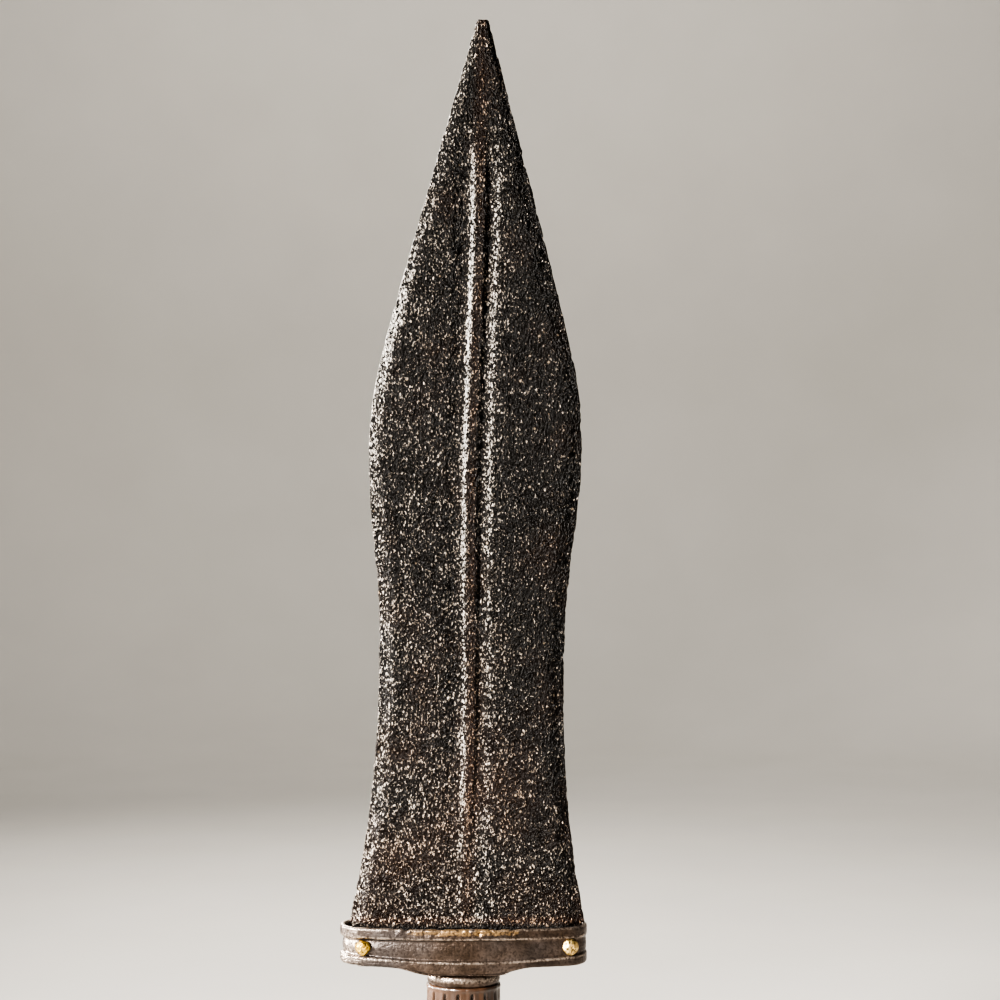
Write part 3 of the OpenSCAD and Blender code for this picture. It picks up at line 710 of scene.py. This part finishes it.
for name, seed, faded in (("rivet_left", 51, 0.0), ("rivet_right", 58, 0.5)):
    low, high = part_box(name)
    rivet_grid, rivet_grime = rivet((low.x + high.x) / 2, (low.z + high.z) / 2, seed)
    stud = skin(name + "_brass", rivet_grid, brass, grime=rivet_grime, pale=faded)
    put(stud, "rivet_brass", name)


# ---- Collars --------------------------------------------------------------------------------
# A bronze bead rings each end of the grip. Both are turned over oval, and carry a painted
# highlight on the upper shoulder of the bead, where the light falls.

GRIP_HALF_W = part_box("upper_collar")[1].x
GRIP_HALF_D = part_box("upper_collar")[1].y
BORE_HALF = (7.6 * MM, 2.9 * MM)        # half length and width of the hole for the tang
BOW_ROWS = 22
collar_turns = np.linspace(0, 2 * np.pi, 192, endpoint=False)


def collar(low_z, high_z, seed):
    """Half a circle bulging out of an oval, carried round it, closed by the tang's slot."""
    bow = np.radians(np.linspace(-90, 90, BOW_ROWS))
    half_h = (high_z - low_z) / 2
    tuck = 0.62 * half_h * (1 - np.cos(bow))
    share = np.concatenate([np.ones(BOW_ROWS), [0.7, 0.0, 0.0, 0.0, 0.7]])
    inset = np.concatenate([tuck, [tuck[-1]] * 5])
    level = np.concatenate([np.sin(bow), [1, 1, 0, -1, -1]])
    c, s = np.cos(collar_turns), np.sin(collar_turns)
    oval = np.stack([(GRIP_HALF_W - inset[:, None]) * c, (GRIP_HALF_D - inset[:, None]) * s], axis=-1)
    slot = np.stack([BORE_HALF[0] * c, BORE_HALF[1] * s], axis=-1)
    flat = mix(slot[None], oval, share[:, None, None])
    z = np.broadcast_to(((low_z + high_z) / 2 + level * half_h)[:, None], flat.shape[:2])
    grid = np.dstack([flat, z])
    away = np.dstack([np.broadcast_to(c, z.shape), np.broadcast_to(s, z.shape), np.zeros(z.shape)])
    outside = share[:, None] > 0.9
    dents = noise(grid, 3.5 * MM, seed, 2) - 0.65
    grid = grid + away * (dents * 0.45 * MM * outside)[..., None]
    # The painted highlight: a bell on the bead's upper shoulder.
    return grid, bell((level[:, None] - 0.3) / 0.5) * outside


for name, seed in (("upper_collar", 61), ("lower_collar", 63)):
    low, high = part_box(name)
    collar_grid, collar_rub = collar(low.z, high.z, seed)
    bead = skin(name + "_bead", collar_grid, bronze, loop=True, rub=collar_rub * 0.9, gold=0.0, grime=0.0)
    put(bead, "bronze", name)


# ---- Grip -----------------------------------------------------------------------------------
# One piece of close-grained hardwood, carved to an oval with narrow round-ended flutes, bored
# for the tang. Hands have polished the reeds, and the flutes are coloured darker than the reeds.

GRIP_LOW, GRIP_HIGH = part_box("grip")[0].z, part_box("grip")[1].z
GRIP_L = GRIP_HIGH - GRIP_LOW
GRIP_TUCK = 0.35 * MM                   # the wood lies this far inside the collars
GRIP_SWELL = 0.6 * MM
GRIP_BORE = (8.4 * MM, 3.9 * MM)        # half length and width of the hole for the tang
NEAR_END = 5.0 * MM                     # rows lie closer together within this of an end
FLUTES = 16
FLUTE_STOP = 1.8 * MM
FLUTE_W = 1.3 * MM
FLUTE_DEEP = 1.15 * MM
FLUTE_END_R = 1.4 * MM
FLUTE_TURN = 0.35                       # turns the flutes round the grip, as a share of one

wood, tree, shader, place = new_material("carved_boxwood")
groove = add(tree, "Attribute", {}, attribute_name="groove").outputs["Fac"]
fibre = add(tree, "Mapping", {"Vector": place, "Scale": (1.0, 1.0, 0.06)}).outputs[0]
fibre = add(tree, "TexNoise", {"Vector": fibre, "Scale": 1 / (0.7 * MM), "Detail": 4.0}).outputs[0]
band = add(tree, "Mapping", {"Vector": place, "Scale": (1.0, 1.0, 0.12)}).outputs[0]
band = add(tree, "TexNoise", {"Vector": band, "Scale": 1 / (6 * MM), "Detail": 3.0}).outputs[0]
tone = add(tree, "MapRange", {"Value": band, "From Min": 0.35, "From Max": 0.65}).outputs[0]
tint = add(tree, "Mix", {0: tone, 6: colour("#291c13"), 7: colour("#4c3524")}, data_type="RGBA").outputs[2]
streak = add(tree, "MapRange", {"Value": fibre, "From Min": 0.5, "From Max": 0.72, "To Max": 0.7}).outputs[0]
tint = add(tree, "Mix", {0: streak, 6: tint, 7: colour("#452b1a")}, data_type="RGBA").outputs[2]
tint = add(tree, "Mix", {0: groove, 6: tint, 7: colour("#1c120b")}, data_type="RGBA").outputs[2]
gloss = add(tree, "MapRange", {"Value": fibre, "From Min": 0.3, "From Max": 0.7, "To Min": 0.34,
                               "To Max": 0.5}).outputs[0]
bump = add(tree, "Bump", {"Height": fibre, "Distance": 0.12 * MM, "Strength": 0.7}).outputs[0]
feed(tree, shader, {"Base Color": tint, "Roughness": gloss, "Normal": bump, "Coat Weight": 0.5})


def grip(cols, rows):
    """An oval that swells by a half sine over its length, cut by flutes: a rounded trough across
    each flute's middle line, fading in a quarter circle at both ends. The wood between two flutes
    is crowned by a parabola and turned up in a bell at the ends. The tang's bore closes it."""
    angle = np.linspace(0, 2 * np.pi, cols, endpoint=False)[None]
    near = np.linspace(0, NEAR_END, 24)
    z = np.concatenate([near, np.linspace(NEAR_END, GRIP_L - NEAR_END, rows)[1:-1],
                        GRIP_L - near[::-1]])[:, None]
    c, s = np.cos(angle), np.sin(angle)
    spot = np.stack(np.broadcast_arrays(GRIP_HALF_W * c, GRIP_HALF_D * s, z), axis=-1)
    sway = (noise(spot, 18 * MM, 71) - 0.5) * 0.03
    phase = (angle + sway) * FLUTES / (2 * np.pi) + FLUTE_TURN
    off = np.abs(phase - np.round(phase)) * np.pi * (GRIP_HALF_W + GRIP_HALF_D) / FLUTES
    from_end = np.minimum(z, GRIP_L - z)
    cut = from_end - FLUTE_STOP
    run = np.sqrt(np.clip(1 - (1 - cut / FLUTE_END_R) ** 2, 0, 1)) * (cut > 0)
    run = np.where(cut > FLUTE_END_R, 1.0, run)
    trough = ramp(1 - off / (FLUTE_W / 2 * mix(0.45, 1.0, run))) * run
    swell = GRIP_SWELL * np.sin(np.pi * z / GRIP_L)
    crown = 0.22 * MM * (1 - (off / (2.4 * MM)) ** 2)
    lip = 0.25 * MM * bell((from_end - 0.7 * MM) / (0.6 * MM))
    worn = (noise(spot, 6 * MM, 73, 3) - 0.5) * 0.35 * MM
    out = swell - GRIP_TUCK + crown + lip + worn - FLUTE_DEEP * trough
    outer = np.dstack([(GRIP_HALF_W + out) * c, (GRIP_HALF_D + out) * s,
                       GRIP_LOW + np.broadcast_to(z, out.shape)])
    inner = [np.column_stack([GRIP_BORE[0] * c[0], GRIP_BORE[1] * s[0], np.full(cols, end)])
             for end in (GRIP_HIGH, GRIP_LOW)]
    return np.concatenate([outer, inner]), np.concatenate([trough, np.ones((2, cols))])


grip_grid, grip_groove = grip(16 * FLUTES, 110)
handle = skin("grip_wood", grip_grid, wood, loop=True, groove=grip_groove)
put(handle, "grip_wood", "grip")


# ---- Washers and bedding --------------------------------------------------------------------
# Thin leather washers take up the play at both ends of the hilt, pitch beds the tang in the grip
# and a forged washer takes the hammering. These keep their plain shapes.

leather, tree, shader, place = new_material("dry_leather")
hide = add(tree, "TexVoronoi", {"Vector": place, "Scale": 1 / (0.8 * MM)}, feature="F1").outputs["Distance"]
tint = add(tree, "Mix", {0: hide, 6: colour("#2a1a12"), 7: colour("#4b2f1e")}, data_type="RGBA").outputs[2]
bump = add(tree, "Bump", {"Height": hide, "Distance": 0.15 * MM, "Strength": 0.6}).outputs[0]
feed(tree, shader, {"Base Color": tint, "Normal": bump, "Roughness": 0.7})
for node, finish in (("guard_washer", leather), ("pommel_washer", leather), ("tang_bedding", pitch),
                     ("peen_washer", iron)):
    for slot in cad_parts[node].material_slots:
        slot.material = finish


# ---- Pommel ---------------------------------------------------------------------------------
# An oval bronze casting that flares from the lower collar to a rounded bead and a flat end, with
# a round recess for the tang's washer. Its patina is the guard's.

POMMEL_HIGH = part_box("pommel")[1].z
POMMEL_HALF_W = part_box("pommel")[1].x
POMMEL_HALF_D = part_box("pommel")[1].y
POMMEL_TUCK = 0.3 * MM                  # room for the casting's dents
RECESS_R = 8.5 * MM
RECESS_TOP = 5.0 * MM
FLAT_END = (18.0 * MM, 12.6 * MM)       # half length and width of the flat end
SIDE_ROWS = 70
FLARE = ((0.0, 0.78), (0.03, 0.88), (0.1, 0.97), (0.2, 1.0), (0.3, 0.97), (0.36, 0.9), (0.385, 0.80),
         (0.41, 0.79), (0.5, 0.62), (0.62, 0.4), (0.75, 0.2), (0.88, 0.07), (1.0, 0.02))


def pommel(cols):
    """A closed profile carried round an oval: FLARE's share of the way from the grip's outline to
    the widest one against height, up the outside, in over the top, down the slot, out under the
    recess's roof, down its wall and out over the flat end."""
    height, share = np.array(FLARE).T
    at = np.linspace(0, 1, SIDE_ROWS)
    flare = round_off(np.interp(at, height, share))
    flare[:3] = np.interp(at[:3], height, share)
    flare[-3:] = flare[-4]
    angle = np.linspace(0, 2 * np.pi, cols, endpoint=False)
    c, s = np.cos(angle), np.sin(angle)

    def ring(half_w, half_d, z):
        return np.column_stack([half_w * c, half_d * s, np.full(cols, z)])

    rows = [ring(mix(GRIP_HALF_W, POMMEL_HALF_W, f) - POMMEL_TUCK,
                 mix(GRIP_HALF_D, POMMEL_HALF_D, f) - POMMEL_TUCK, a * POMMEL_HIGH)
            for a, f in zip(at, flare)]
    rows += [ring(*BORE_HALF, z) for z in (POMMEL_HIGH, RECESS_TOP)]
    rows += [ring(r, r, z) for r, z in (
        (RECESS_R - 0.3 * MM, RECESS_TOP), (RECESS_R, RECESS_TOP - 0.4 * MM),
        (RECESS_R, 0.5 * MM), (RECESS_R + 0.4 * MM, 0.0))]
    rows += [ring(mix(RECESS_R, FLAT_END[0], t), mix(RECESS_R, FLAT_END[1], t), 0.0) for t in (0.3, 0.6, 0.9)]
    grid = np.array(rows)
    normal = outward(grid, loop=True)
    if np.sum(normal[20] * (grid[20] - grid[20].mean(axis=0))) < 0:
        normal = -normal
    outside = (np.arange(len(rows)) < SIDE_ROWS)[:, None]
    cast_side = outside & (grid[..., 2] >= 0.3 * MM)
    dents = (noise(grid, 8 * MM, 81, 3) - 0.55) * 0.6 * MM
    grid = grid + normal * (dents * cast_side)[..., None]
    up = grid[..., 2] / POMMEL_HIGH
    rub = bell((up - 0.2) / 0.13) + 0.8 * bell((up - 0.36) / 0.03)
    return grid, np.clip(rub * outside, 0, 1)


pommel_grid, pommel_rub = pommel(200)
cap = skin("pommel_casting", pommel_grid, bronze, loop=True, rub=pommel_rub * 0.8, gold=0.0, grime=0.0)
put(cap, "bronze", "pommel")


# ---- Floor ----------------------------------------------------------------------------------
# A pale seamless sheet of studio paper: a round floor that turns up into a wall all the way
# round, so that no edge or corner shows behind the sword.

FLOOR_R = 1.5
BEND_R = 0.5
WALL_TOP = 1.6
SWEEP_COLS = 96
bend = np.radians(np.linspace(0, 90, 24))[1:]
flat_reach = np.concatenate([[0.001], np.linspace(0.1, FLOOR_R, 12)])
reach = np.concatenate([flat_reach, FLOOR_R + BEND_R * np.sin(bend), [FLOOR_R + BEND_R]])
rise = np.concatenate([0 * flat_reach, BEND_R * (1 - np.cos(bend)), [WALL_TOP]])
round_angle = np.radians(np.arange(SWEEP_COLS) * 360 / SWEEP_COLS)
sweep = np.stack(np.broadcast_arrays(reach[:, None] * np.cos(round_angle),
                                     reach[:, None] * np.sin(round_angle), rise[:, None]), axis=-1)
paper, tree, shader, place = new_material("pale_studio_paper")
mottle = add(tree, "TexNoise", {"Vector": place, "Scale": 9.0, "Detail": 3.0}).outputs[0]
tint = add(tree, "Mix", {0: mottle, 6: colour("#c9c6c0"), 7: colour("#d2cfc9")}, data_type="RGBA").outputs[2]
feed(tree, shader, {"Base Color": tint, "Roughness": 0.9})
here = np.arange(sweep[..., 0].size).reshape(sweep.shape[:2])
side = np.roll(here, -1, axis=1)
sheet = bpy.data.meshes.new("studio_sweep")
sheet.from_pydata(sweep.reshape(-1, 3).tolist(), [],
                  np.stack([here[:-1], here[1:], side[1:], side[:-1]], axis=-1).reshape(-1, 4).tolist())
sheet.shade_smooth()
sheet.materials.append(paper)
floor = bpy.data.objects.new("studio_sweep", sheet)
bpy.context.collection.objects.link(floor)


# ---- Camera and light -----------------------------------------------------------------------
# The camera looks square and level at the front face, near enough to cut off the grip below its
# collar. It stands above the rim, so the guard is seen a little from above.

CAMERA_REACH = 689 * MM
CAMERA_RIGHT = 13.1 * MM
CAMERA_OVER_RIM = 152 * MM
camera = bpy.data.objects.new("camera", bpy.data.cameras.new("camera"))
camera.location = (CAMERA_RIGHT, -CAMERA_REACH, RIM_Z + CAMERA_OVER_RIM)
camera.rotation_euler = (np.radians(90), 0, 0)
camera.data.lens = 68.9
camera.data.sensor_width = 36.0
camera.data.clip_start = 0.01
camera.data.clip_end = 20.0
bpy.context.collection.objects.link(camera)
bpy.context.scene.camera = camera


def soft_box(name, place, target, size, watts, tint, spread):
    """A square area light at a place, turned to face a target, its beam narrowed to a spread."""
    lamp = bpy.data.lights.new(name, "AREA")
    lamp.size, lamp.energy, lamp.color = size, watts, colour(tint)[:3]
    lamp.spread = np.radians(spread)
    light = bpy.data.objects.new(name, lamp)
    light.location = place
    light.rotation_euler = (Vector(target) - Vector(place)).to_track_quat("-Z", "Y").to_euler()
    bpy.context.collection.objects.link(light)


# A soft box from the left rakes the face and brings the pits up. A low one behind it catches the
# left edge and a small one lights the hilt; the last two light the paper and fill the back.
MIDDLE = (0.0, 0.0, RIM_Z + 110 * MM)
LOW_BLADE = (0.0, 0.0, RIM_Z + 30 * MM)
HILT = (0.0, 0.0, RIM_Z - 20 * MM)
WARM_WHITE = "#fffaf4"
soft_box("key", (-1.05, -0.62, 0.66), MIDDLE, 0.22, 9.0, WARM_WHITE, 60)
soft_box("edge_light", (-0.9, 0.22, 0.24), LOW_BLADE, 0.25, 1.1, WARM_WHITE, 40)
soft_box("hilt_light", (-0.5, -0.66, 0.4), HILT, 0.12, 0.15, WARM_WHITE, 16)
soft_box("backdrop", (0.0, 0.75, 1.5), (0.0, 1.9, 0.5), 0.7, 10.0, WARM_WHITE, 140)
soft_box("back_fill", (-0.5, 1.2, 0.9), MIDDLE, 0.7, 8.0, "#fff9f2", 90)
world = bpy.data.worlds.new("studio")
world.use_nodes = True
feed(world.node_tree, world.node_tree.nodes["Background"], {"Color": colour("#dfe3e8"), "Strength": 0.1})
bpy.context.scene.world = world
bpy.context.scene.view_settings.look = "AgX - High Contrast"
